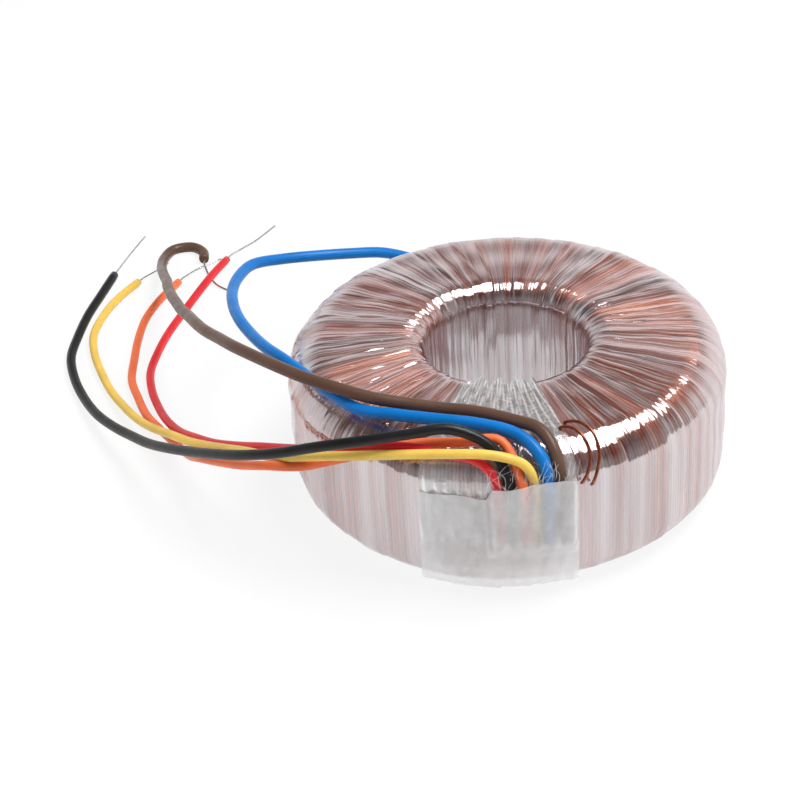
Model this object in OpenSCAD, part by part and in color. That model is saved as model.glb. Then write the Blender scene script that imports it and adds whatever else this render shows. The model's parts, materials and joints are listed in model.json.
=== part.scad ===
// Toroidal mains transformer with six flying leads.
// Origin on the axis of the ring, in the plane of the face it stands on. +Z up, leads leave towards -Y.

/* [Ring] */
// Outside diameter over the outer film
ring_d = 110; // [104:1:125]
// Height from the face it stands on to the top
ring_h = 40.5; // [37:0.5:52]
// Diameter of the hole through the middle
hole_d = 39; // [34:1:42]
// How much the thickness of a winding adds to the rounding at the outside rims
rim_growth = 2.6; // [1.6:0.1:2.7]
// How much the thickness of a winding adds to the rounding at the lips of the hole
lip_growth = 0.5; // [0.3:0.05:0.8]
// Rounding of the deburred edges of the core
core_edge_r = 1.0; // [0.5:0.1:1.4]
// Space left between one layer and the next
layer_gap = 0.05; // [0.03:0.01:0.08]

/* [Outer film] */
// Thickness of the outer film, several turns of it
film_t = 0.6; // [0.4:0.05:0.9]
// How far the edge of one tape turn stands above the next
tape_step = 0.15; // [0.08:0.01:0.25]
// Number of tape turns round the ring
tape_turns = 36; // [24:1:48]
// Share of a turn's pitch that the overlap covers
tape_overlap = 0.5; // [0.3:0.05:0.7]

/* [Windings] */
// Thickness of the wire of the outer secondary, which lies in one layer
secondary_2_wire = 1.2; // [0.9:0.05:1.25]
// Turns of the outer secondary
secondary_2_turns = 92; // [60:2:94]
// Angle that a turn leans across the end faces
turn_lean = 4; // [0:0.5:8]
// Build of the inner secondary on the outside wall
secondary_1_side = 1.2; // [0.9:0.1:1.8]
// Build of the inner secondary on the end faces
secondary_1_face = 1.5; // [1.2:0.1:2.2]
// Build of the inner secondary in the hole
secondary_1_hole = 3.8; // [3:0.1:4.4]
// Build of the primary on the outside wall
primary_side = 1.2; // [0.8:0.1:1.6]
// Build of the primary on the end faces
primary_face = 1.4; // [1:0.1:1.8]
// Build of the primary in the hole
primary_hole = 2.6; // [1.8:0.1:3]
// Thickness of the insulating film between primary and secondary
barrier_film_t = 0.5; // [0.3:0.05:0.7]

/* [Core] */
// Thickness of the film wound on the core
core_film_t = 0.4; // [0.3:0.05:0.6]
// Wall of the insulating caps on the core's end faces
cap_t = 0.8; // [0.6:0.1:1.2]
// How far a cap's skirts reach down the core
cap_skirt = 8; // [4:0.5:10]
// Radial pitch of the strip turns that show on the core's end faces
strip_pitch = 0.95; // [0.8:0.05:1.4]
// Depth of the groove between two strip turns
strip_groove = 0.25; // [0.1:0.05:0.4]

/* [Leads] */
// Diameter of the brown and blue primary leads
primary_lead_d = 3.0; // [2.6:0.1:3]
// Diameter of the black secondary lead
black_lead_d = 2.6; // [2.2:0.1:2.6]
// Diameter of the yellow, orange and red secondary leads
secondary_lead_d = 2.3; // [2:0.1:2.3]
// Diameter of the tinned wire bared at the end of a primary lead
primary_wire_d = 0.7; // [0.5:0.1:0.9]
// Diameter of the tinned wire bared at the end of a secondary lead
secondary_wire_d = 0.5; // [0.4:0.1:0.8]

/* [Lead patch] */
// Thickness of the film pad under the leads
pad_t = 0.3; // [0.2:0.05:0.35]
// Thickness of the film patch that holds the leads down
patch_t = 0.5; // [0.3:0.05:0.7]
// Height of the patch's lower edge
patch_low = 4; // [2:0.5:8]
// Height of the patch's upper edge and of the mouth of its pocket
patch_top = 35.5; // [33:0.5:36]
// Height at which the pocket closes below the leads
pocket_foot = 15; // [12:0.5:15]
// Diameter of the finish loop's wire
loop_wire_d = 0.8; // [0.6:0.1:1]

/* [Hidden] */

$fn = 96;
clear = 0.1;
over = 1;
film_color = [0.86, 0.80, 0.82, 0.45];
copper_color = [0.72, 0.36, 0.24];
tinned_color = [0.78, 0.78, 0.76];

// A film lies evenly on the edges below it. Wire bridges them, so a winding rounds them off more.
film_growth = 1;
wire_growth = 0.2;

// The layers from the outside in, each as [outside wall, end face, hole] thickness and
// [outside rim, lip] rounding that it adds for each unit of thickness.
BUILD = [
    [film_t, film_t, film_t, film_growth, film_growth],
    [secondary_2_wire, secondary_2_wire, secondary_2_wire, wire_growth, wire_growth],
    [secondary_1_side, secondary_1_face, secondary_1_hole, rim_growth, lip_growth],
    [barrier_film_t, barrier_film_t, barrier_film_t, film_growth, film_growth],
    [primary_side, primary_face, primary_hole, rim_growth, lip_growth],
    [core_film_t, core_film_t, core_film_t, film_growth, film_growth],
    [cap_t, cap_t, cap_t, film_growth, film_growth]];
FILM = 0;
SECONDARY_2 = 1;
SECONDARY_1 = 2;
BARRIER = 3;
PRIMARY = 4;
CORE_FILM = 5;
CAPS = 6;
CORE = 7;

WALL = 0;
FACE = 1;
HOLE = 2;
RIM = 3;
LIP = 4;

// Depth below the surface at which a layer starts, measured on the wall, an end face or in the hole.
function depth(way, layer) = layer == 0 ? 0 : depth(way, layer - 1) + BUILD[layer - 1][way] + layer_gap;

// Rounding of a layer's outside edges, summed up from the core.
function rounding(way, thick, layer) =
    layer == CORE ? core_edge_r : rounding(way, thick, layer + 1) + BUILD[layer][way] * BUILD[layer][thick];

// Section of the space that a layer fills together with all inside it:
// [inner radius, outer radius, bottom, top, rounding at the hole, rounding at the outside].
function section(layer) = [
    hole_d / 2 + depth(HOLE, layer),
    ring_d / 2 - depth(WALL, layer),
    depth(FACE, layer),
    ring_h - depth(FACE, layer),
    rounding(LIP, HOLE, layer),
    rounding(RIM, WALL, layer)];

// The same section, made larger by a distance on every side, or smaller by a negative one.
function grown(s, by) = [s[0] - by, s[1] + by, s[2] - by, s[3] + by, s[4] + by, s[5] + by];

// Flat outline of a ring section with round corners.
module ring_outline(s) {
    width = s[1] - s[0] - s[4] - s[5];
    translate([s[0] + s[4], s[2]]) square([width, s[3] - s[2]]);
    translate([s[0], s[2] + s[4]]) square([s[4] + width, s[3] - s[2] - 2 * s[4]]);
    translate([s[0] + s[4], s[2] + s[5]]) square([s[5] + width, s[3] - s[2] - 2 * s[5]]);
    for (z = [s[2] + s[4], s[3] - s[4]]) translate([s[0] + s[4], z]) circle(r = s[4]);
    for (z = [s[2] + s[5], s[3] - s[5]]) translate([s[1] - s[5], z]) circle(r = s[5]);
}

// Outline of one layer, from its outside to the start of the next layer less the gap.
module layer_outline(layer) {
    difference() {
        ring_outline(section(layer));
        ring_outline(grown(section(layer + 1), layer_gap));
    }
}

module layer_shell(layer) rotate_extrude() layer_outline(layer);

// A ring sector about the front (-Y), between two angles counted from it towards +X.
module front_sector(from, to) {
    rotate([0, 0, from - 90]) rotate_extrude(angle = to - from) children();
}

// ---------- core ----------

module core() {
    s = section(CORE);
    grooves = floor((s[1] - s[0] - 2 * s[4]) / strip_pitch);
    color([0.45, 0.46, 0.48]) rotate_extrude() difference() {
        ring_outline(s);
        for (i = [1:grooves - 1], z = [s[2], s[3]])
            translate([s[0] + s[4] + i * strip_pitch, z])
                square([strip_pitch / 3, 2 * strip_groove], center = true);
    }
}

module core_cap(top) {
    s = section(CAPS);
    low = top ? s[3] - cap_skirt : s[2] - over;
    color([0.12, 0.12, 0.13]) rotate_extrude() intersection() {
        layer_outline(CAPS);
        translate([0, low]) square([ring_d, cap_skirt + over]);
    }
}

module core_cap_top() core_cap(true);
module core_cap_bottom() core_cap(false);
module core_film() color([0.93, 0.9, 0.78, 0.6]) layer_shell(CORE_FILM);
module primary_winding() color(copper_color * 0.9) layer_shell(PRIMARY);
module barrier_film() color([0.95, 0.85, 0.35, 0.7]) layer_shell(BARRIER);
module secondary_winding_1() color(copper_color * 0.95) layer_shell(SECONDARY_1);

// ---------- outer secondary: one wire wound round and round the ring ----------

// Points of one corner arc, each as [radius, height, direction out of the corner].
function arc_points(cx, cz, r, from) =
    [for (a = [from:30:from + 90]) [cx + r * cos(a), cz + r * sin(a), a]];

// One turn's outline, up the outside wall, in over the top, down the hole and out below.
function turn_points(s) = concat(
    arc_points(s[1] - s[5], s[2] + s[5], s[5], -90),
    arc_points(s[1] - s[5], s[3] - s[5], s[5], 0),
    arc_points(s[0] + s[4], s[3] - s[4], s[4], 90),
    arc_points(s[0] + s[4], s[2] + s[4], s[4], 180));

// A wire with a three-sided section, flat side down, that stays on the surface of the ring below it.
module wound_wire(s, d, turns) {
    turn = turn_points(grown(s, -d / 2));
    n = len(turn);
    stations = [for (t = [0:turns - 2], k = [0:n - 1])
        let (p = turn[k],
            a = 360 * (t + 1 + k / n) / turns - 90 + turn_lean * (p[0] - s[0]) / (s[1] - s[0]))
        [[p[0] * cos(a), p[0] * sin(a), p[1]], [cos(p[2]) * cos(a), cos(p[2]) * sin(a), sin(p[2])]]];
    path = [for (station = stations) station[0]];
    dirs = along(path);
    points = [for (i = [0:len(path) - 1])
        let (out = across(stations[i][1], dirs[i]), side = d / 2 * cross(dirs[i], out),
            foot = path[i] - (d / 2 - clear) * out)
        each [path[i] + d / 2 * out, foot + side, foot - side]];
    polyhedron(points = points, faces = tube_faces(len(path), 3), convexity = 10);
}

module secondary_winding_2() color(copper_color) wound_wire(section(SECONDARY_2), secondary_2_wire,
    secondary_2_turns);

// ---------- outer film ----------

film = section(FILM);
wrap_top = ring_h + tape_step;
wrap_r = ring_d / 2 + tape_step;
tape_pitch = 360 / tape_turns;

// One turn's raised edge: over the end face, round the rim and down the outside wall.
module tape_edge() {
    raised = grown(film, tape_step);
    rotate_extrude(angle = tape_pitch * tape_overlap) difference() {
        intersection() {
            ring_outline(raised);
            translate([film[0] + film[4] + over, film[2] + film[5] + over]) square([ring_d, ring_h]);
        }
        ring_outline(grown(film, -film_t / 2));
    }
}

module outer_film() {
    color(film_color) difference() {
        union() {
            layer_shell(FILM);
            for (i = [0:tape_turns - 1]) rotate([0, 0, i * tape_pitch]) tape_edge();
        }
        wire_holes();
    }
}

// ---------- smooth routes ----------

function catmull(a, b, c, d, t) =
    0.5 * (2 * b + (c - a) * t + (2 * a - 5 * b + 4 * c - d) * t * t + (3 * b - a - 3 * c + d) * t * t * t);

// A smooth path through every point of a route, with so many steps from point to point.
function smooth(route, steps) =
    let (n = len(route),
        e = concat([2 * route[0] - route[1]], route, [2 * route[n - 1] - route[n - 2]]))
    concat([for (i = [1:n - 1], k = [0:steps - 1]) catmull(e[i - 1], e[i], e[i + 1], e[i + 2], k / steps)],
        [route[n - 1]]);

function unit(v) = v / norm(v);
function along(path) = [for (i = [0:len(path) - 1])
    unit(path[min(i + 1, len(path) - 1)] - path[max(i - 1, 0)])];
function across(v, t) = unit(v - (v * t) * t);

// A side direction at each point, carried along the path without twist.
function sides_of(dirs) =
    [for (i = 0, n = across([0.3, 0.9, 0.2], dirs[0]); i < len(dirs);
        i = i + 1, n = i < len(dirs) ? across(n, dirs[i]) : n) n];

// Faces of a tube of so many rings, with so many points round each, closed at both ends.
function tube_faces(rings, around) = concat(
    [for (i = [0:rings - 2], k = [0:around - 1], half = [0, 1])
        let (a = i * around + k, b = i * around + (k + 1) % around)
        half == 0 ? [a, a + around, b + around] : [a, b + around, b]],
    [[for (k = [0:around - 1]) k]],
    [[for (k = [around - 1:-1:0]) (rings - 1) * around + k]]);

// The routes below are given for a ring of this radius and height. On another ring they keep their distance
// from its wall, and what lies above the floor rises or sinks with its top.
route_r = 55;
route_h = 40.5;
lying = 3;

function on_ring(route) = [for (p = route)
    let (out = 1 + (ring_d / 2 - route_r) / norm([p[0], p[1]]),
        up = min(1, max(0, p[2] - lying) / (route_h - lying)))
    [p[0] * out, p[1] * out, p[2] + (ring_h - route_h) * up]];

// A round tube swept along a path.
module swept_tube(path, d, around) {
    dirs = along(path);
    side = sides_of(dirs);
    rings = len(path);
    points = [for (i = [0:rings - 1], k = [0:around - 1])
        let (a = 360 * k / around)
        path[i] + d / 2 * (cos(a) * side[i] + sin(a) * cross(dirs[i], side[i]))];
    polyhedron(points = points, faces = tube_faces(rings, around), convexity = 10);
}

module lead(route, d) swept_tube(smooth(on_ring(route), 2), d, 8);
module bare_wire(route, d) swept_tube(smooth(on_ring(route), 2), d, 6);

// ---------- leads: from the foot of the pocket, up, over the rim and down to the table ----------

BROWN = [[9, -56.5, 18], [9, -56.5, 27], [8.5, -56, 34], [7.5, -53, 40], [4.5, -47.5, 43], [-1.5, -43, 43],
    [-9, -39, 43], [-17, -36.5, 43], [-25, -34.5, 43.5], [-33.5, -32.5, 44.5], [-41.5, -29, 45.5],
    [-49, -24.5, 46], [-56, -18.5, 46], [-62, -11.5, 45], [-67, -4.5, 43.5], [-71, 3.5, 41],
    [-75, 11.5, 38.5], [-78, 19.5, 36], [-80.5, 28, 33], [-83, 36, 30], [-85, 44.5, 27], [-87, 53, 24],
    [-88.5, 61.5, 20.5], [-90, 70, 17.5], [-91, 78.5, 14], [-92.5, 87, 10.5], [-94, 96, 7],
    [-95, 104, 4], [-95, 112, 2], [-92.5, 118, 1.5], [-87, 119, 1.5], [-83.5, 115.5, 1.5], [-83, 111, 1.5]];
BLUE = [[5.5, -57, 18], [5.5, -57, 27], [5.5, -56.5, 34], [4, -53.5, 40], [-1, -48, 42.5], [-9, -44, 43],
    [-18.5, -41, 43], [-28, -38, 43], [-36.5, -33.5, 42], [-43, -26, 42], [-48.5, -18.5, 42],
    [-54, -10.5, 42], [-59, -2.5, 41], [-63, 6.5, 39.5], [-66.5, 16, 38.5], [-68.5, 26, 37],
    [-69, 36, 35.5], [-67.5, 45.5, 34], [-64, 53.5, 32.5], [-56.5, 59.5, 30], [-48, 63.5, 28],
    [-38, 67, 26], [-29, 70.5, 23.5], [-20, 73, 19], [-11, 74, 13], [-2.5, 74, 7], [6.5, 73, 3],
    [16, 71, 1.5]];
BLACK = [[-3, -57, 18], [-3, -57, 27], [-3.5, -56.5, 34.5], [-7, -52, 42], [-16, -49.5, 46],
    [-26, -49, 45], [-37, -47, 42.5], [-47.5, -44, 39.5], [-57, -39, 35], [-65.5, -32.5, 30.5],
    [-72.5, -25, 26], [-79, -17, 21.5], [-85.5, -8.5, 17], [-91.5, 0.5, 12.5], [-97, 9.5, 9],
    [-103, 19, 6], [-108.5, 29, 3.5], [-113, 39.5, 2], [-116.5, 50, 1.5], [-118.5, 61, 1.5],
    [-117.5, 72, 1.5], [-115.5, 83.5, 1.5], [-112.5, 94.5, 1.5], [-109.5, 105.5, 1.5]];
ORANGE = [[0, -57, 18], [0, -57, 27], [-0.5, -57, 34.5], [-4.5, -50, 42], [-13.5, -48.5, 41.5],
    [-23.5, -46.5, 40.5], [-33, -44, 37.5], [-42.5, -39.5, 32.5], [-51.5, -36.5, 29], [-60, -32.5, 27],
    [-66.5, -26, 23], [-72.5, -18.5, 19], [-77.5, -11.5, 15.5], [-80.5, -5.5, 12], [-83, 1, 9],
    [-86, 8.5, 6.5], [-90.5, 18, 4.5], [-95, 27.5, 3], [-98, 37.5, 2], [-100.5, 47.5, 1.5],
    [-100.5, 58, 1.5], [-100, 69, 1.5], [-98.5, 79.5, 1.5], [-95, 89.5, 1.5], [-90, 99, 1.5]];
YELLOW = [[2.5, -57, 18], [2.5, -57, 27], [2.5, -56.5, 33.5], [0, -56, 39.5], [-7.5, -55, 42],
    [-17, -53.5, 42], [-27, -50.5, 40.5], [-36, -46.5, 38], [-44.5, -41.5, 35], [-52.5, -36, 31.5],
    [-59, -29.5, 27.5], [-65, -22, 24], [-70.5, -14.5, 20], [-76, -7, 16], [-81.5, 0.5, 12.5],
    [-87, 8.5, 9.5], [-92.5, 16.5, 6.5], [-97.5, 25, 4], [-102, 34, 2.5], [-106, 43, 1.5],
    [-109.5, 53, 1.5], [-112, 62.5, 1.5], [-113, 72.5, 1.5], [-111, 82.5, 1.5], [-107.5, 91.5, 1.5],
    [-102, 100.5, 1.5]];
RED = [[-5.5, -56.5, 18], [-5.5, -56.5, 27], [-6, -56.5, 33.5], [-8, -55, 38], [-11.5, -52.5, 39.5],
    [-16.5, -51, 40], [-24, -49, 41], [-33, -45.5, 40], [-41.5, -40, 36], [-48, -33.5, 31.5],
    [-55, -26, 27], [-61.5, -19, 23], [-68, -11.5, 18.5], [-74.5, -4, 14.5], [-80, 4, 11],
    [-85, 12.5, 7.5], [-89, 21.5, 5], [-92, 31, 3], [-94.5, 41, 2], [-95.5, 51, 1.5], [-94, 61, 1.5],
    [-91.5, 71, 1.5], [-88, 81, 1.5], [-84, 90.5, 2.2], [-80, 100, 2.5], [-76, 109.5, 2]];

module brown_lead() color([0.36, 0.22, 0.17]) lead(BROWN, primary_lead_d);
module blue_lead() color([0.02, 0.42, 0.78]) lead(BLUE, primary_lead_d);
module black_lead() color([0.06, 0.06, 0.07]) lead(BLACK, black_lead_d);
module orange_lead() color([0.95, 0.42, 0.18]) lead(ORANGE, secondary_lead_d);
module yellow_lead() color([0.95, 0.78, 0.3]) lead(YELLOW, secondary_lead_d);
module red_lead() color([0.85, 0.14, 0.14]) lead(RED, secondary_lead_d);

// Bared ends. Each starts at the end face of its lead and runs on in the same direction.
module brown_wire() color(tinned_color)
    bare_wire([[-83, 110.9, 1.5], [-82.6, 107.6, 1.2], [-81, 102, 0.6], [-78.5, 97, 0.5], [-75, 93.5, 0.5]],
        primary_wire_d);
module blue_wire() color(tinned_color)
    bare_wire([[16, 71, 1.5], [19, 70.3, 1.2], [24, 69, 0.6], [30, 67.5, 0.5]], primary_wire_d);
module black_wire() color(tinned_color)
    bare_wire([[-109.5, 105.5, 1.5], [-108.7, 108.4, 1.3], [-106, 118, 0.6], [-102, 129, 0.5]],
        secondary_wire_d);
module orange_wire() color(tinned_color)
    bare_wire([[-90, 99, 1.5], [-88.6, 101.7, 1.3], [-84.5, 107.5, 0.6], [-78, 112.5, 0.5]],
        secondary_wire_d);
module yellow_wire() color(tinned_color)
    bare_wire([[-102, 100.5, 1.5], [-100.2, 103.4, 1.3], [-96.5, 108.5, 0.6], [-94, 112, 0.5]],
        secondary_wire_d);
module red_wire() color(tinned_color)
    bare_wire([[-76, 109.5, 2], [-74.7, 112.4, 1.8], [-72, 117.5, 0.6], [-67.5, 122.5, 0.5],
        [-62, 130.5, 0.5]], secondary_wire_d);

// ---------- joints: each lead's wire turns in through the film to its winding ----------

// Foot of each lead in the pocket, with the lead's diameter.
FEET = [for (route = [BROWN, BLUE, BLACK, ORANGE, YELLOW, RED]) on_ring(route)[0]];
joint_wire_d = 1;
joint_drop = 1.5;
hole_clear = 0.15;
winding_r = section(SECONDARY_2)[1];

module joint_wires(d, reach) {
    for (foot = FEET) {
        angle = atan2(foot[1], foot[0]);
        r = norm([foot[0], foot[1]]);
        translate([foot[0], foot[1], foot[2] - joint_drop]) {
            cylinder(d = d, h = joint_drop, $fn = 24);
            sphere(d = d, $fn = 24);
            rotate([0, 0, angle]) rotate([0, -90, 0]) cylinder(d = d, h = r - reach, $fn = 24);
        }
    }
}

module lead_joints() color(copper_color) joint_wires(joint_wire_d, winding_r + clear);

// Loose finish of the winding: a bight of wire that stands out of the film beside the leads.
loop_lift = 0.3 + loop_wire_d / 2;
LOOP_ROUTES = [
    [[9.5, -44.5, 40.2], [9.6, -44.6, 41.2], [12, -46.5, 42.1], [14.5, -49.5, 41.2], [15.5, -52.2, 38],
        [14.8, -54.2, 35], [13.6, -54.9, 32.8], [13.4, -53.5, 31.5]],
    [[10.8, -42.5, 40.2], [10.9, -42.6, 41.2], [13.8, -44.6, 42.3], [16.6, -47.8, 41.5], [17.8, -51.2, 38],
        [17, -53.4, 34.4], [16, -54.2, 31.8], [15.7, -52.9, 30.4]]];

// The loops keep their place on the rim.
LOOPS = [for (route = LOOP_ROUTES) [for (p = route)
    let (out = 1 + (ring_d / 2 - route_r) / norm([p[0], p[1]]))
    [p[0] * out, p[1] * out, p[2] + ring_h - route_h]]];

module finish_loop() {
    color(copper_color * 0.8) for (route = LOOPS) swept_tube(smooth(route, 2), loop_wire_d, 6);
}

// Every hole that a wire needs through the films.
module wire_holes() {
    joint_wires(joint_wire_d + 2 * hole_clear, winding_r - film_t);
    for (route = LOOPS, end = [[0, 1], [len(route) - 1, len(route) - 2]]) {
        a = route[end[0]];
        way = route[end[1]] - a;
        translate(a - unit(way)) rotate([0, acos(way[2] / norm(way)), atan2(way[1], way[0])])
            cylinder(d = loop_wire_d + 4 * hole_clear, h = norm(way) + 2, $fn = 24);
    }
}

// ---------- films that hold the leads ----------

pad_from = -26;
pad_to = 13;
patch_from = -26;
pocket_from = -9;
pocket_to = 13;
pad_lip = 4;

// Clear pad under the leads: from near the hole, over the end face, round the rim and down the wall.
module lead_pad() {
    base = grown(film, tape_step + clear);
    color(film_color) difference() {
        front_sector(pad_from, pad_to) difference() {
            intersection() {
                ring_outline(grown(base, pad_t));
                translate([film[0] + pad_lip, pocket_foot]) square([ring_d, ring_h]);
            }
            ring_outline(base);
        }
        wire_holes();
    }
}

lead_space = primary_lead_d + 4 * clear;
patch_in = wrap_r + pad_t + 2 * clear;
pocket_in = patch_in + lead_space;
fold = 3;
side_wall = 0.5;
flap_low = patch_low + 1;
flap_top = 29.5;

// Outline of the sheet that hangs over the lead joints, and of the room that it leaves for the leads.
module pocket_outline() {
    polygon([[patch_in, patch_low], [patch_in + patch_t, patch_low], [patch_in + patch_t, pocket_foot - fold],
        [pocket_in + patch_t, pocket_foot + fold / 2], [pocket_in + patch_t, patch_top], [patch_in, patch_top]]);
}

module lead_room_outline() {
    polygon([[patch_in - over, pocket_foot - fold], [patch_in, pocket_foot - fold],
        [pocket_in, pocket_foot + fold / 2], [pocket_in, patch_top + over], [patch_in - over, patch_top + over]]);
}

// Patch over the leads: flat on the wall at the left, a pocket open at the top over the leads.
module lead_patch() {
    color(film_color) {
        front_sector(patch_from, pocket_from + side_wall / 2) translate([patch_in + clear, flap_low])
            square([patch_t - 2 * clear, flap_top - flap_low]);
        difference() {
            front_sector(pocket_from, pocket_to) pocket_outline();
            front_sector(pocket_from + side_wall, pocket_to - side_wall) lead_room_outline();
        }
    }
}

core();
core_cap_top();
core_cap_bottom();
core_film();
primary_winding();
barrier_film();
secondary_winding_1();
secondary_winding_2();
finish_loop();
outer_film();
lead_pad();
lead_patch();
lead_joints();
brown_lead();
blue_lead();
black_lead();
orange_lead();
yellow_lead();
red_lead();
brown_wire();
blue_wire();
black_wire();
orange_wire();
yellow_wire();
red_wire();
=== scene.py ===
"""Looks of a toroidal transformer with six flying leads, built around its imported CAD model. Metres, +Z up."""

import json
import math
import random

import bpy
import numpy as np
from mathutils import Matrix, Vector


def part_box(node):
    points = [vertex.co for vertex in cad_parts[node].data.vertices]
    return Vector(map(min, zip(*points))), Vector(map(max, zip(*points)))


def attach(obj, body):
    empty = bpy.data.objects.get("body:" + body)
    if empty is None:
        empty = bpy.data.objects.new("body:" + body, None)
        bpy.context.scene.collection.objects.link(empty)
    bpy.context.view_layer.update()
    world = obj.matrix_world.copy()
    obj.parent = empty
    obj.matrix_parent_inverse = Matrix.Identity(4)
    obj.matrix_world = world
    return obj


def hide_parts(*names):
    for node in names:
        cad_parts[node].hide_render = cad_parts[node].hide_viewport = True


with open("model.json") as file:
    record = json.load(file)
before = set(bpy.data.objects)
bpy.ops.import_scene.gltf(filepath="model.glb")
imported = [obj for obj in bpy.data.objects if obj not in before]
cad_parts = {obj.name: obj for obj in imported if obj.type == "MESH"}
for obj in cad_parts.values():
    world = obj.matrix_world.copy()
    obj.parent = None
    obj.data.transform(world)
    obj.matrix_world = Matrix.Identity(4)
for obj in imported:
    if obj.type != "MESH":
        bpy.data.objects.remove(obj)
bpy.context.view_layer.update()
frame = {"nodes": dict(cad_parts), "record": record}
MM = 0.001

# ---------- sizes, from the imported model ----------

TAPE_STEP = 0.15 * MM
FILM_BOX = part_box("outer_film")
RING_R = FILM_BOX[1].x - TAPE_STEP
RING_H = FILM_BOX[1].z - TAPE_STEP
HOLE_R = frame["record"]["mounts"][0]["dims"]["r_mm"] * MM
WINDING_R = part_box("secondary_winding_2")[1].x
FILM_T = RING_R - WINDING_R
RIM_R = 9.78 * MM
LIP_R = 6.74 * MM
PATCH_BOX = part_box("lead_patch")
TURN_LEAN = math.radians(4)
CROWN = 1.3 * MM


# ---------- camera ----------


def make_camera():
    """Looks down 34 degrees along +Y, rolled a little, as the part was seen."""
    elevation, roll = math.radians(34.12), math.radians(-3.69)
    right = Vector((1, 0, 0))
    up = Vector((0, math.sin(elevation), math.cos(elevation)))
    back = Vector((0, -math.cos(elevation), math.sin(elevation)))
    cam_x = math.cos(roll) * right + math.sin(roll) * up
    cam_y = -math.sin(roll) * right + math.cos(roll) * up
    rotation = Matrix((cam_x, cam_y, back)).transposed().to_4x4()
    data = bpy.data.cameras.new("camera")
    data.sensor_width, data.lens = 36, 97.83
    data.clip_start, data.clip_end = 0.05, 10
    camera = bpy.data.objects.new("camera", data)
    bpy.context.scene.collection.objects.link(camera)
    camera.matrix_world = Matrix.Translation((-0.02703, -0.45481, 0.32953)) @ rotation
    bpy.context.scene.camera = camera


# ---------- material helpers ----------


def color_ramp(tree, value, stops):
    """Colour for a value between stops, where a single number stands for a grey level."""
    node = tree.nodes.new("ShaderNodeValToRGB")
    tree.links.new(value, node.inputs[0])
    elements = node.color_ramp.elements
    while len(elements) < len(stops):
        elements.new(0.5)
    for element, (place, colour) in zip(elements, stops):
        rgb = colour if isinstance(colour, tuple) else (colour,) * 3
        element.position, element.color = place, (*rgb, 1)
    return node.outputs["Color"]


class Nodes:
    """Builds one node material with short calls."""

    def __init__(self, name):
        self.material = bpy.data.materials.new(name)
        self.material.use_nodes = True
        self.tree = self.material.node_tree
        self.tree.nodes.clear()
        self.out = self.add("ShaderNodeOutputMaterial")

    def add(self, kind, **inputs):
        node = self.tree.nodes.new(kind)
        for name, value in inputs.items():
            self.feed(node, name.replace("_", " "), value)
        return node

    def feed(self, node, name, value):
        """Links or sets an input, which is given by its name or by its number in the list."""
        socket = node.inputs[name] if not name.isdigit() else node.inputs[int(name)]
        if isinstance(value, bpy.types.NodeSocket):
            self.tree.links.new(value, socket)
        else:
            socket.default_value = value

    def math(self, operation, a, b=0.0):
        node = self.tree.nodes.new("ShaderNodeMath")
        node.operation = operation
        self.feed(node, "0", a)
        self.feed(node, "1", b)
        return node.outputs[0]

    def ramp(self, value, stops):
        return color_ramp(self.tree, value, stops)

    def mix(self, share, first, second):
        """Shader that goes from the first to the second as share goes from 0 to 1."""
        node = self.tree.nodes.new("ShaderNodeMixShader")
        self.feed(node, "0", share)
        self.feed(node, "1", first.outputs[0])
        self.feed(node, "2", second.outputs[0])
        return node

    def noise(self, vector, scale, detail=2.0, roughness=0.5):
        return self.add("ShaderNodeTexNoise", Vector=vector, Scale=scale, Detail=detail,
                        Roughness=roughness).outputs["Fac"]

    def surface(self, shader):
        self.tree.links.new(shader.outputs[0], self.out.inputs["Surface"])
        return self.material


def ring_vector(nodes, around, along):
    """Where a point lies on the ring: the angle as a point on a circle, scaled by around, and the height and
    radius scaled by along, so that a pattern runs in streaks along the tape."""
    place = nodes.add("ShaderNodeTexCoord").outputs["Object"]
    split = nodes.add("ShaderNodeSeparateXYZ", Vector=place)
    x, y, z = split.outputs
    radius = nodes.math("SQRT", nodes.math("ADD", nodes.math("MULTIPLY", x, x), nodes.math("MULTIPLY", y, y)))
    cos = nodes.math("MULTIPLY", nodes.math("DIVIDE", x, radius), around)
    sin = nodes.math("MULTIPLY", nodes.math("DIVIDE", y, radius), around)
    run = nodes.math("MULTIPLY", nodes.math("ADD", radius, z), along)
    return nodes.add("ShaderNodeCombineXYZ", X=cos, Y=sin, Z=run).outputs[0]


def pvc(name, colour, sheen=0.3):
    """Lead insulation: satin, a little uneven in tone, with faint dust."""
    n = Nodes(name)
    place = n.add("ShaderNodeTexCoord").outputs["Object"]
    shade = n.noise(place, 90.0, 4.0)
    dark = tuple(c * 0.86 for c in colour)
    light = tuple(min(1.0, c * 1.08 + 0.004) for c in colour)
    base = n.ramp(shade, [(0.3, dark), (0.7, light)])
    fine = n.noise(place, 2200.0, 3.0)
    bump = n.add("ShaderNodeBump", Strength=0.12, Distance=0.0002, Height=fine).outputs[0]
    rough = n.ramp(n.noise(place, 260.0), [(0.3, 0.30), (0.7, 0.42)])
    shader = n.add("ShaderNodeBsdfPrincipled", Base_Color=base, Roughness=rough, Normal=bump)
    shader.inputs["Specular IOR Level"].default_value = sheen
    return n.surface(shader)


def tinned():
    """Tinned copper wire, satin with a slightly uneven tone."""
    n = Nodes("tinned")
    place = n.add("ShaderNodeTexCoord").outputs["Object"]
    base = n.ramp(n.noise(place, 700.0, 3.0), [(0.3, (0.55, 0.54, 0.52)), (0.7, (0.82, 0.81, 0.79))])
    shader = n.add("ShaderNodeBsdfPrincipled", Base_Color=base, Metallic=1.0, Roughness=0.28)
    return n.surface(shader)


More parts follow.
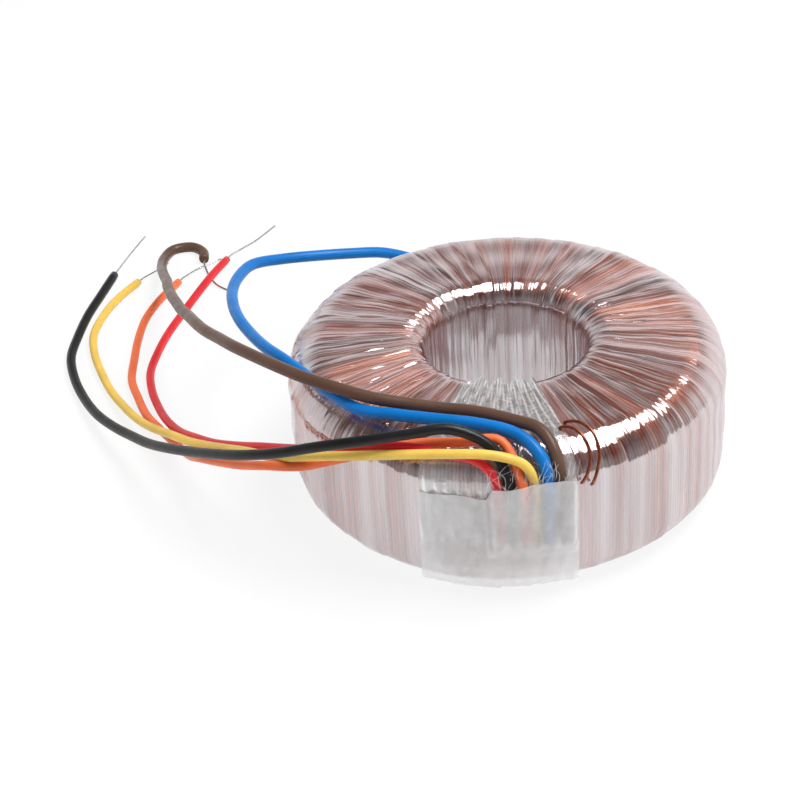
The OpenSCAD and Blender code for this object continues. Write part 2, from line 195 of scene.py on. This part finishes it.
def enamelled_copper():
    """Copper wire under clear enamel: salmon to deep orange from turn to turn, with painted shade that darkens
    the grooves between the turns.
    """
    n = Nodes("enamelled_copper")
    streaks = n.noise(ring_vector(n, 95.0, 22.0), 1.0, 5.0, 0.65)
    patches = n.noise(ring_vector(n, 3.2, 14.0), 1.0, 2.0)
    # The per-point turn attribute holds a random tone for each turn plus painted shade in the grooves between
    # the turns.
    turn = n.tree.nodes.new("ShaderNodeAttribute")
    turn.attribute_name = "turn_tone_and_groove_shade"
    tone = n.math("ADD", n.math("MULTIPLY", streaks, 0.35), n.math("MULTIPLY", patches, 0.3))
    tone = n.math("ADD", tone, n.math("MULTIPLY", turn.outputs["Fac"], 0.38))
    base = n.ramp(tone, [(0.34, (0.12, 0.04, 0.04)), (0.46, (0.50, 0.13, 0.065)), (0.57, (0.80, 0.26, 0.12)),
                         (0.72, (0.96, 0.50, 0.30))])
    shader = n.add("ShaderNodeBsdfPrincipled", Base_Color=base, Metallic=0.4, Roughness=0.34)
    return n.surface(shader)


def wrapped_film():
    """Clear polyester film in many overlapping turns: it shows the wire below and mirrors what is around it."""
    n = Nodes("wrapped_film")
    wide = n.noise(ring_vector(n, 13.0, 22.0), 1.0, 2.0, 0.5)
    fine = n.noise(ring_vector(n, 75.0, 26.0), 1.0, 4.0, 0.6)
    height = n.math("ADD", n.math("MULTIPLY", wide, 0.88), n.math("MULTIPLY", fine, 0.12))
    bump = n.add("ShaderNodeBump", Strength=0.5, Distance=0.0016, Height=height).outputs[0]
    mirror = n.add("ShaderNodeBsdfGlossy", Color=(0.95, 0.91, 0.94, 1), Roughness=0.09, Normal=bump)
    clear = n.add("ShaderNodeBsdfTransparent", Color=(0.93, 0.91, 0.92, 1))
    haze = n.add("ShaderNodeBsdfDiffuse", Color=(0.84, 0.79, 0.83, 1), Normal=bump)
    facing = n.add("ShaderNodeLayerWeight", Blend=0.32, Normal=bump).outputs["Fresnel"]
    share = n.ramp(facing, [(0.0, 0.50), (0.35, 0.58), (1.0, 0.95)])
    milky = n.ramp(n.noise(ring_vector(n, 17.0, 9.0), 1.0, 3.0), [(0.38, 0.01), (0.75, 0.30)])
    under = n.mix(milky, clear, haze)
    band = n.math("SUBTRACT", n.noise(ring_vector(n, 9.0, 5.0), 1.0, 2.0, 0.6), 0.5)
    return n.surface(n.mix(n.math("ADD", share, n.math("MULTIPLY", band, 0.85)), under, mirror))


def sheet_film(name, haze_share):
    """Loose clear sheet, milky where it creases."""
    n = Nodes(name)
    place = n.add("ShaderNodeTexCoord").outputs["Object"]
    cloud = n.noise(place, 70.0, 4.0, 0.6)
    crease = n.noise(place, 260.0, 6.0, 0.65)
    bump = n.add("ShaderNodeBump", Strength=0.5, Distance=0.0008, Height=crease).outputs[0]
    milky = n.ramp(cloud, [(0.3, haze_share * 0.6), (0.7, haze_share)])
    clear = n.add("ShaderNodeBsdfTransparent", Color=(0.96, 0.96, 0.96, 1))
    haze = n.add("ShaderNodeBsdfDiffuse", Color=(0.80, 0.79, 0.80, 1), Normal=bump)
    mirror = n.add("ShaderNodeBsdfGlossy", Color=(1, 1, 1, 1), Roughness=0.2, Normal=bump)
    under = n.mix(milky, clear, haze)
    facing = n.add("ShaderNodeLayerWeight", Blend=0.3, Normal=bump).outputs["Fresnel"]
    share = n.ramp(facing, [(0.0, 0.10), (1.0, 0.7)])
    return n.surface(n.mix(share, under, mirror))


def plain(name, dark, light, scale, roughness, metallic=0.0):
    """Finish of a piece that lies under the windings."""
    n = Nodes(name)
    place = n.add("ShaderNodeTexCoord").outputs["Object"]
    base = n.ramp(n.noise(place, scale, 4.0), [(0.3, dark), (0.7, light)])
    shader = n.add("ShaderNodeBsdfPrincipled", Base_Color=base, Metallic=metallic, Roughness=roughness)
    return n.surface(shader)


# ---------- mesh helpers ----------


def new_piece(name, points, faces, material, smooth=True):
    """A mesh object in the scene, with one material."""
    mesh = bpy.data.meshes.new(name)
    mesh.from_pydata([tuple(p) for p in points], [], faces)
    mesh.update()
    mesh.polygons.foreach_set("use_smooth", [smooth] * len(mesh.polygons))
    mesh.materials.append(material)
    piece = bpy.data.objects.new(name, mesh)
    bpy.context.scene.collection.objects.link(piece)
    return piece


def grid_faces(rows, cols, first=0, close_rows=False, close_cols=False, flip=False):
    """Quads of a grid of points kept row by row."""
    faces = []
    for i in range(rows if close_rows else rows - 1):
        for k in range(cols if close_cols else cols - 1):
            i2, k2 = (i + 1) % rows, (k + 1) % cols
            quad = [first + i * cols + k, first + i * cols + k2, first + i2 * cols + k2, first + i2 * cols + k]
            faces.append(quad[::-1] if flip else quad)
    return faces


def smooth_route(route, steps):
    """The smooth path of the CAD source, through every point of a route, in metres."""
    p = np.array(route, float) * MM
    e = np.vstack([2 * p[0] - p[1], p, 2 * p[-1] - p[-2]])
    path = []
    for i in range(1, len(p)):
        a, b, c, d = e[i - 1 : i + 3]
        for t in np.arange(steps) / steps:
            path.append(0.5 * (2 * b + (c - a) * t + (2 * a - 5 * b + 4 * c - d) * t * t
                               + (3 * b - a - 3 * c + d) * t**3))
    path.append(p[-1])
    return np.array(path)


def tube(name, path, radii, material, around=20):
    """A round tube along a path, with a radius for each point, closed by flat ends."""
    dirs = np.gradient(path, axis=0)
    dirs /= np.linalg.norm(dirs, axis=1)[:, None]
    side = np.cross(dirs[0], (0.3, 0.2, 0.9))
    points = []
    angles = 2 * np.pi * np.arange(around) / around
    for centre, way, radius in zip(path, dirs, radii):
        side = side - way * (side @ way)
        side /= np.linalg.norm(side)
        other = np.cross(way, side)
        points += list(centre + radius * (np.cos(angles)[:, None] * side + np.sin(angles)[:, None] * other))
    rows = len(path)
    faces = grid_faces(rows, around, close_cols=True)
    faces.append(list(range(around))[::-1])
    faces.append([(rows - 1) * around + k for k in range(around)])
    return new_piece(name, points, faces, material)


def ring_section(depth, spacing, arc_steps=12):
    """Points of the ring's rounded section, a depth below the film's face, with outward directions and how far
    along an end face each lies, from 0 at the hole to 1 at the outside. It starts low on the outside wall and
    runs up, in over the top, down the hole and out below. The top is crowned, as turns pile up at the hole."""
    corners = [(RING_R - RIM_R, RIM_R, RIM_R - depth, -90),
               (RING_R - RIM_R, RING_H - RIM_R, RIM_R - depth, 0),
               (HOLE_R + LIP_R, RING_H - LIP_R, LIP_R - depth, 90),
               (HOLE_R + LIP_R, LIP_R, LIP_R - depth, 180)]
    points = []
    for cx, cz, r, start in corners:
        for k in range(arc_steps + 1):
            a = math.radians(start + 90 * k / arc_steps)
            points.append((cx + r * math.cos(a), cz + r * math.sin(a), math.cos(a), math.sin(a)))
    filled = []
    for here, there in zip(points, points[1:] + points[:1]):
        gap = math.hypot(there[0] - here[0], there[1] - here[1])
        parts = max(1, round(gap / spacing))
        for k in range(parts):
            filled.append([a + (b - a) * k / parts for a, b in zip(here, there)])
    section = np.array(filled)
    run = np.clip((section[:, 0] - HOLE_R) / (RING_R - HOLE_R), 0, 1)
    high = np.clip(2 * section[:, 1] / RING_H - 1, 0, 1)
    section[:, 1] -= CROWN * high * run**2
    return section, run


# ---------- winding: many fine turns ----------

WIRE_PITCH = 0.92 * MM
TURNS = round(2 * math.pi * WINDING_R / WIRE_PITCH)
CREST_H = 0.34 * MM


def make_winding():
    """The outer winding, its turns side by side and leaning across the end faces, some a little proud."""
    section, run = ring_section(FILM_T + 0.05 * MM, 3.2 * MM, 8)
    rng = np.random.default_rng(4)
    steps = 4
    cols = TURNS * steps
    crest = np.tile([0.0, 0.75, 1.0, 0.75], TURNS)
    ridge = crest * CREST_H
    proud = np.repeat(rng.uniform(-0.10, 0.0, TURNS), steps) * MM
    bend = np.repeat(rng.normal(0, 0.0016, TURNS), steps)
    points = []
    for (r, z, out_r, out_z), s in zip(section, run):
        angle = 2 * np.pi * np.arange(cols) / cols + TURN_LEAN * s + bend * math.sin(math.pi * s) * 3
        rise = ridge - CREST_H + proud
        points.append(np.stack([(r + out_r * rise) * np.cos(angle), (r + out_r * rise) * np.sin(angle),
                                z + out_z * rise], axis=1))
    outer = np.vstack(points)
    inner_section, _ = ring_section(FILM_T + 1.15 * MM, 12 * MM, 6)
    inner_cols = 120
    turn = 2 * np.pi * np.arange(inner_cols) / inner_cols
    inner = np.vstack([np.stack([r * np.cos(turn), r * np.sin(turn), np.full(inner_cols, z)], axis=1)
                       for r, z, *_ in inner_section])
    faces = grid_faces(len(section), cols, close_rows=True, close_cols=True, flip=False)
    faces += grid_faces(len(inner_section), inner_cols, len(outer), close_rows=True, close_cols=True, flip=True)
    piece = new_piece("winding_turns", np.vstack([outer, inner]), faces, enamelled_copper())
    tone = np.full(len(outer) + len(inner), 0.5, np.float32)
    # Tone per point: 0.62 * crest is painted shade, darkest in the grooves between turns; the random part is
    # each turn's own tone.
    tone[: len(outer)] = np.tile(0.62 * crest + np.repeat(rng.uniform(0, 0.38, TURNS), steps), len(section))
    piece.data.attributes.new("turn_tone_and_groove_shade", "FLOAT", "POINT").data.foreach_set("value", tone)
    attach(piece, "root")
    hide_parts("secondary_winding_2")


# ---------- outer film ----------

TAPE_TURNS = 54
PLEATS = 130
PLEAT_H = 0.30 * MM
TAPE_EDGE_H = 0.10 * MM
RIPPLE_H = 0.12 * MM
RIPPLE_LENGTH = 2.0 * MM


def pleat_heights(cols, rows, seed):
    """How far the film stands at each place: ridges that run along the tape, each fading in and out."""
    rng = np.random.default_rng(seed)
    angle = 2 * np.pi * np.arange(cols) / cols
    height = np.zeros((rows, cols))
    along = 2 * np.pi * np.arange(rows) / rows
    for _ in range(PLEATS):
        where, width = rng.uniform(0, 2 * np.pi), rng.uniform(0.02, 0.075)
        near = (angle - where + np.pi) % (2 * np.pi) - np.pi
        drift = rng.normal(0, 0.01) * np.sin(along + rng.uniform(0, 6.3))
        fade = 0.55 + 0.45 * np.sin(along * rng.integers(1, 3) + rng.uniform(0, 6.3))
        bell = np.exp(-(((near[None] - drift[:, None]) / width) ** 2))
        height += rng.uniform(0.3, 1.0) * fade[:, None] * bell
    height -= height.min()
    return height / height.max()


def make_film():
    """The wrap of film: overlapping tape turns, each edge a small step, drawn into pleats."""
    section, run = ring_section(0, 2.2 * MM)
    cols = 1080
    pleats = pleat_heights(cols, len(section), 11)
    angles = 2 * np.pi * np.arange(cols) / cols
    turn = (angles * TAPE_TURNS / (2 * np.pi)).astype(int)
    tape = (angles * TAPE_TURNS / (2 * np.pi)) % 1
    ripple = np.random.default_rng(8).uniform(0, 2 * np.pi, TAPE_TURNS)[turn]
    steps = np.linalg.norm(np.diff(section[:, :2], axis=0), axis=1)
    travel = np.concatenate([[0], np.cumsum(steps)]) / RIPPLE_LENGTH
    points = []
    for i, ((r, z, out_r, out_z), s) in enumerate(zip(section, run)):
        rise = (-PLEAT_H * (1 - pleats[i]) + TAPE_EDGE_H * (tape - 1)
                + RIPPLE_H * (np.sin(travel[i] + ripple) - 1))
        a = angles + TURN_LEAN * s
        points.append(np.stack([(r + out_r * rise) * np.cos(a), (r + out_r * rise) * np.sin(a),
                                z + out_z * rise], axis=1))
    faces = grid_faces(len(section), cols, close_rows=True, close_cols=True)
    piece = new_piece("film_wrap", np.vstack(points), faces, wrapped_film())
    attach(piece, "root")
    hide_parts("outer_film")


# ---------- film pad and patch that hold the leads ----------

# Both start at this angle from the front, in degrees, and span this much of the ring.
PAD_FROM = -26
PAD_SPAN = 39
PAD_T = 0.3 * MM


def make_pad():
    """Clear sheet stuck over the end face and rim under the leads, with an uneven edge near the hole."""
    rng = random.Random(5)
    inner_r = HOLE_R + LIP_R * 0.6
    profile = []
    for k in range(14):
        profile.append((inner_r + (RING_R - RIM_R - inner_r) * k / 14, RING_H + PAD_T))
    for k in range(13):
        a = math.radians(90 - 90 * k / 12)
        profile.append((RING_R - RIM_R + (RIM_R + PAD_T) * math.cos(a),
                        RING_H - RIM_R + (RIM_R + PAD_T) * math.sin(a)))
    for k in range(1, 9):
        profile.append((RING_R + PAD_T, RING_H - RIM_R - 1.9 * MM * k))
    cols = 90
    points = []
    for i, (r, z) in enumerate(profile):
        for k in range(cols):
            share = k / (cols - 1)
            angle = math.radians(-90 + PAD_FROM + PAD_SPAN * share)
            ragged = (1.3 * MM * math.sin(share * 23) + rng.uniform(-0.5, 0.5) * MM) if i == 0 else 0
            lift = 0.12 * MM * (math.sin(share * 47 + i * 0.7) + math.sin(share * 90 - i * 0.4))
            rr, zz = r + ragged, z + (lift if i < 15 else 0)
            rr += lift if i >= 15 else 0
            points.append((rr * math.cos(angle), rr * math.sin(angle), zz))
    piece = new_piece("film_pad", points, grid_faces(len(profile), cols), sheet_film("pad_film", 0.32))
    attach(piece, "root")
    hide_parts("lead_pad")


def make_patch():
    """Creased milky sheet over the lead joints: flat on the wall at the left, standing off over the leads."""
    low, top = PATCH_BOX[0].z, PATCH_BOX[1].z
    rows, cols = 64, 120
    wall = RING_R + 0.65 * MM
    stand = 3.75 * MM
    points = []
    for i in range(rows):
        for k in range(cols):
            u, v = k / (cols - 1), i / (rows - 1)
            angle = PAD_FROM + PAD_SPAN * u
            bulge = smooth_step((angle + 9.5) / 2.6) * smooth_step((13.3 - angle) / 2.4)
            upper = top - 5.8 * MM * (1 - bulge) + 0.5 * MM * math.sin(angle * 0.31)
            z = low + 0.3 * MM * math.sin(angle * 0.17) + (upper - low) * v
            off = stand * bulge * smooth_step((z - 11 * MM) / (8 * MM))
            crease = 0.22 * MM * (math.sin(u * 31 + v * 5) * math.sin(v * 9 + u * 4)
                                  + 0.5 * math.sin(u * 67 - v * 11))
            r = wall + off + max(-0.1 * MM, crease)
            a = math.radians(angle - 90)
            points.append((r * math.cos(a), r * math.sin(a), z))
    piece = new_piece("film_patch", points, grid_faces(rows, cols), sheet_film("patch_film", 0.66))
    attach(piece, "root")
    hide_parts("lead_patch")


def make_fibres():
    """Hair-thin strands frayed from the torn film edge, standing up round the leads where the pocket opens."""
    rng = np.random.default_rng(3)
    material = sheet_film("fibre_film", 0.95)
    count, links, around, thick = 80, 6, 4, 0.09 * MM
    points, faces = [], []
    for _ in range(count):
        angle, z = math.radians(rng.uniform(-9, 12.5) - 90), PATCH_BOX[1].z - rng.uniform(0.3, 4) * MM
        r = RING_R + rng.uniform(1.0, 4.2) * MM
        start = np.array([r * math.cos(angle), r * math.sin(angle), z])
        way = np.array([rng.normal(0, 0.45), rng.uniform(-0.1, 0.5), 1.0])
        bow = rng.normal(0, 1.0, 3) * MM
        reach = rng.uniform(2.0, 6.0) * MM
        first = len(points)
        for i in range(links):
            t = i / (links - 1)
            centre = start + way * reach * t + bow * math.sin(math.pi * t)
            for k in range(around):
                a = 2 * math.pi * k / around
                points.append(centre + thick * (1 - 0.6 * t) * np.array([math.cos(a), math.sin(a), 0]))
        faces += grid_faces(links, around, first, close_cols=True)
        faces.append([first + k for k in range(around)][::-1])
        faces.append([first + (links - 1) * around + k for k in range(around)])
    piece = new_piece("patch_fibres", points, faces, material)
    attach(piece, "root")


def smooth_step(x):
    """0 up to 0, 1 from 1 on, and a smooth climb between them."""
    x = min(1.0, max(0.0, x))
    return x * x * (3 - 2 * x)


# ---------- finish loops ----------

LOOPS = {
    "finish_loop_outer": [[9.5, -44.5, 40.2], [9.6, -44.6, 41.2], [12, -46.5, 42.1], [14.5, -49.5, 41.2],
                          [15.5, -52.2, 38], [14.8, -54.2, 35], [13.6, -54.9, 32.8], [13.4, -53.5, 31.5]],
    "finish_loop_inner": [[10.8, -42.5, 40.2], [10.9, -42.6, 41.2], [13.8, -44.6, 42.3], [16.6, -47.8, 41.5],
                          [17.8, -51.2, 38], [17, -53.4, 34.4], [16, -54.2, 31.8], [15.7, -52.9, 30.4]],
}


def make_finish_loops():
    """The two loops of wire where the winding finishes, beside the leads."""
    copper = plain("loop_copper", (0.22, 0.05, 0.03), (0.5, 0.16, 0.09), 900.0, 0.3, 0.8)
    for name, route in LOOPS.items():
        path = smooth_route(route, 8)
        piece = tube(name, path, np.full(len(path), 0.4 * MM), copper, 12)
        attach(piece, "root")
        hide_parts("finish_loop")


# ---------- leads ----------

BROWN = [[9, -56.5, 18], [9, -56.5, 27], [8.5, -56, 34], [7.5, -53, 40], [4.5, -47.5, 43], [-1.5, -43, 43],
    [-9, -39, 43], [-17, -36.5, 43], [-25, -34.5, 43.5], [-33.5, -32.5, 44.5], [-41.5, -29, 45.5],
    [-49, -24.5, 46], [-56, -18.5, 46], [-62, -11.5, 45], [-67, -4.5, 43.5], [-71, 3.5, 41],
    [-75, 11.5, 38.5], [-78, 19.5, 36], [-80.5, 28, 33], [-83, 36, 30], [-85, 44.5, 27], [-87, 53, 24],
    [-88.5, 61.5, 20.5], [-90, 70, 17.5], [-91, 78.5, 14], [-92.5, 87, 10.5], [-94, 96, 7],
    [-95, 104, 4], [-95, 112, 2], [-92.5, 118, 1.5], [-87, 119, 1.5], [-83.5, 115.5, 1.5], [-83, 111, 1.5]]
BLUE = [[5.5, -57, 18], [5.5, -57, 27], [5.5, -56.5, 34], [4, -53.5, 40], [-1, -48, 42.5], [-9, -44, 43],
    [-18.5, -41, 43], [-28, -38, 43], [-36.5, -33.5, 42], [-43, -26, 42], [-48.5, -18.5, 42],
    [-54, -10.5, 42], [-59, -2.5, 41], [-63, 6.5, 39.5], [-66.5, 16, 38.5], [-68.5, 26, 37],
    [-69, 36, 35.5], [-67.5, 45.5, 34], [-64, 53.5, 32.5], [-56.5, 59.5, 30], [-48, 63.5, 28],
    [-38, 67, 26], [-29, 70.5, 23.5], [-20, 73, 19], [-11, 74, 13], [-2.5, 74, 7], [6.5, 73, 3],
    [16, 71, 1.5]]
BLACK = [[-3, -57, 18], [-3, -57, 27], [-3.5, -56.5, 34.5], [-7, -52, 42], [-16, -49.5, 46],
    [-26, -49, 45], [-37, -47, 42.5], [-47.5, -44, 39.5], [-57, -39, 35], [-65.5, -32.5, 30.5],
    [-72.5, -25, 26], [-79, -17, 21.5], [-85.5, -8.5, 17], [-91.5, 0.5, 12.5], [-97, 9.5, 9],
    [-103, 19, 6], [-108.5, 29, 3.5], [-113, 39.5, 2], [-116.5, 50, 1.5], [-118.5, 61, 1.5],
    [-117.5, 72, 1.5], [-115.5, 83.5, 1.5], [-112.5, 94.5, 1.5], [-109.5, 105.5, 1.5]]
ORANGE = [[0, -57, 18], [0, -57, 27], [-0.5, -57, 34.5], [-4.5, -50, 42], [-13.5, -48.5, 41.5],
    [-23.5, -46.5, 40.5], [-33, -44, 37.5], [-42.5, -39.5, 32.5], [-51.5, -36.5, 29], [-60, -32.5, 27],
    [-66.5, -26, 23], [-72.5, -18.5, 19], [-77.5, -11.5, 15.5], [-80.5, -5.5, 12], [-83, 1, 9],
    [-86, 8.5, 6.5], [-90.5, 18, 4.5], [-95, 27.5, 3], [-98, 37.5, 2], [-100.5, 47.5, 1.5],
    [-100.5, 58, 1.5], [-100, 69, 1.5], [-98.5, 79.5, 1.5], [-95, 89.5, 1.5], [-90, 99, 1.5]]
YELLOW = [[2.5, -57, 18], [2.5, -57, 27], [2.5, -56.5, 33.5], [0, -56, 39.5], [-7.5, -55, 42],
    [-17, -53.5, 42], [-27, -50.5, 40.5], [-36, -46.5, 38], [-44.5, -41.5, 35], [-52.5, -36, 31.5],
    [-59, -29.5, 27.5], [-65, -22, 24], [-70.5, -14.5, 20], [-76, -7, 16], [-81.5, 0.5, 12.5],
    [-87, 8.5, 9.5], [-92.5, 16.5, 6.5], [-97.5, 25, 4], [-102, 34, 2.5], [-106, 43, 1.5],
    [-109.5, 53, 1.5], [-112, 62.5, 1.5], [-113, 72.5, 1.5], [-111, 82.5, 1.5], [-107.5, 91.5, 1.5],
    [-102, 100.5, 1.5]]
RED = [[-5.5, -56.5, 18], [-5.5, -56.5, 27], [-6, -56.5, 33.5], [-8, -55, 38], [-11.5, -52.5, 39.5],
    [-16.5, -51, 40], [-24, -49, 41], [-33, -45.5, 40], [-41.5, -40, 36], [-48, -33.5, 31.5],
    [-55, -26, 27], [-61.5, -19, 23], [-68, -11.5, 18.5], [-74.5, -4, 14.5], [-80, 4, 11],
    [-85, 12.5, 7.5], [-89, 21.5, 5], [-92, 31, 3], [-94.5, 41, 2], [-95.5, 51, 1.5], [-94, 61, 1.5],
    [-91.5, 71, 1.5], [-88, 81, 1.5], [-84, 90.5, 2.2], [-80, 100, 2.5], [-76, 109.5, 2]]
BARE = {
    "brown": [[-83, 110.9, 1.5], [-82.6, 107.6, 1.2], [-81, 102, 0.6], [-78.5, 97, 0.5], [-75, 93.5, 0.5]],
    "blue": [[16, 71, 1.5], [19, 70.3, 1.2], [24, 69, 0.6], [30, 67.5, 0.5]],
    "black": [[-109.5, 105.5, 1.5], [-108.7, 108.4, 1.3], [-106, 118, 0.6], [-102, 129, 0.5]],
    "orange": [[-90, 99, 1.5], [-88.6, 101.7, 1.3], [-84.5, 107.5, 0.6], [-78, 112.5, 0.5]],
    "yellow": [[-102, 100.5, 1.5], [-100.2, 103.4, 1.3], [-96.5, 108.5, 0.6], [-94, 112, 0.5]],
    "red": [[-76, 109.5, 2], [-74.7, 112.4, 1.8], [-72, 117.5, 0.6], [-67.5, 122.5, 0.5], [-62, 130.5, 0.5]],
}
LEADS = {
    "brown": (BROWN, 3.0, 0.7, (0.105, 0.054, 0.036)),
    "blue": (BLUE, 3.0, 0.7, (0.0, 0.155, 0.50)),
    "black": (BLACK, 2.6, 0.5, (0.010, 0.010, 0.011)),
    "orange": (ORANGE, 2.3, 0.5, (0.86, 0.17, 0.055)),
    "yellow": (YELLOW, 2.3, 0.5, (0.83, 0.55, 0.10)),
    "red": (RED, 2.3, 0.5, (0.68, 0.022, 0.03)),
}


def lead_radii(path, d):
    """The insulation's radius along a lead: round at its cut end, full after that."""
    reach = np.concatenate([[0], np.cumsum(np.linalg.norm(np.diff(path, axis=0), axis=1))])
    left = reach[-1] - reach
    return np.where(left < 0.25 * MM, 0.9, 1.0) * d / 2


def make_leads():
    """The six insulated leads, each with its bared end."""
    metal = tinned()
    for colour, (route, d, wire_d, tone) in LEADS.items():
        path = smooth_route(route, 6)
        piece = tube(colour + "_flex", path, lead_radii(path, d * MM), pvc(colour + "_pvc", tone))
        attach(piece, "root")
        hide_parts(colour + "_lead")
        wire_path = smooth_route(BARE[colour], 6)
        wire = tube(colour + "_end", wire_path, np.full(len(wire_path), wire_d * MM / 2), metal, 10)
        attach(wire, "root")
        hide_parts(colour + "_wire")


# ---------- pieces that lie under the winding ----------


def dress_inner_pieces():
    """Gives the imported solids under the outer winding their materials."""
    looks = {
        "core": plain("core_steel", (0.16, 0.16, 0.17), (0.30, 0.30, 0.32), 300.0, 0.42, 0.9),
        "core_cap_top": plain("cap_plastic", (0.015, 0.015, 0.016), (0.03, 0.03, 0.032), 200.0, 0.5),
        "core_film": plain("inner_film", (0.62, 0.58, 0.40), (0.74, 0.70, 0.52), 150.0, 0.3),
        "primary_winding": enamelled_copper(),
    }
    same = {"core_cap_bottom": "core_cap_top", "barrier_film": "core_film",
            "secondary_winding_1": "primary_winding", "lead_joints": "primary_winding"}
    for node, piece in frame["nodes"].items():
        look = looks.get(same.get(node, node))
        if look:
            piece.data.materials.clear()
            piece.data.materials.append(look)


# ---------- studio ----------


def make_floor():
    """White floor: white to the camera and to mirrors, a little darker where the part shades it."""
    n = Nodes("floor")
    paper = n.add("ShaderNodeBsdfDiffuse", Color=(0.86, 0.86, 0.86, 1))
    white = n.add("ShaderNodeEmission", Color=(1, 1, 1, 1), Strength=1.0)
    seen = n.tree.nodes.new("ShaderNodeLightPath")
    direct = n.math("MULTIPLY", n.math("MAXIMUM", seen.outputs["Is Camera Ray"],
                                       seen.outputs["Is Glossy Ray"]), 0.86)
    floor = new_piece("floor", [(-2, -1.6, 0), (2, -1.6, 0), (2, 2.5, 0), (-2, 2.5, 0)], [[0, 1, 2, 3]],
                      n.surface(n.mix(direct, paper, white)), smooth=False)


def make_world():
    """Studio light, bright low down and dark overhead and behind the camera. Only the camera sees white."""
    world = bpy.data.worlds.new("studio")
    bpy.context.scene.world = world
    world.use_nodes = True
    tree = world.node_tree
    tree.nodes.clear()
    out = tree.nodes.new("ShaderNodeOutputWorld")
    room, white = tree.nodes.new("ShaderNodeBackground"), tree.nodes.new("ShaderNodeBackground")
    place = tree.nodes.new("ShaderNodeTexCoord")
    split = tree.nodes.new("ShaderNodeSeparateXYZ")
    tree.links.new(place.outputs["Generated"], split.inputs[0])
    height = color_ramp(tree, split.outputs["Z"],
                        [(0.0, 0.92), (0.26, 0.85), (0.42, 0.52), (0.55, 0.18), (0.66, 0.07), (1.0, 0.10)])
    behind = color_ramp(tree, split.outputs["Y"], [(0.0, 0.30), (0.25, 1.0)])
    level = tree.nodes.new("ShaderNodeMath")
    level.operation = "MULTIPLY"
    tree.links.new(height, level.inputs[0])
    tree.links.new(behind, level.inputs[1])
    tree.links.new(level.outputs[0], room.inputs["Color"])
    mix, seen = tree.nodes.new("ShaderNodeMixShader"), tree.nodes.new("ShaderNodeLightPath")
    tree.links.new(seen.outputs["Is Camera Ray"], mix.inputs[0])
    tree.links.new(room.outputs[0], mix.inputs[1])
    tree.links.new(white.outputs[0], mix.inputs[2])
    white.inputs["Color"].default_value = (1, 1, 1, 1)
    tree.links.new(mix.outputs[0], out.inputs["Surface"])


def make_lamp(name, size, power, place, mirrored=True, target=(0, 0, 0.02)):
    """Rectangular lamp that faces the target, and shows in mirrors only where mirrored is set."""
    data = bpy.data.lights.new(name, "AREA")
    data.shape, data.size, data.size_y, data.energy = "RECTANGLE", size[0], size[1], power
    lamp = bpy.data.objects.new(name, data)
    bpy.context.scene.collection.objects.link(lamp)
    lamp.location = place
    lamp.visible_glossy = mirrored
    lamp.rotation_mode = "QUATERNION"
    lamp.rotation_quaternion = (Vector(target) - Vector(place)).to_track_quat("-Z", "Y")


make_camera()
make_leads()
make_winding()
make_film()
make_pad()
make_patch()
make_fibres()
make_finish_loops()
dress_inner_pieces()
make_floor()
make_world()
make_lamp("softbox_above", (0.62, 0.42), 11, (0.36, 0.02, 0.95))
make_lamp("fill_left", (0.5, 0.7), 5, (-0.95, -0.2, 0.6), mirrored=False)
make_lamp("fill_right", (0.5, 0.7), 5, (0.9, -0.4, 0.6), mirrored=False)
bpy.context.scene.view_settings.view_transform = "Standard"
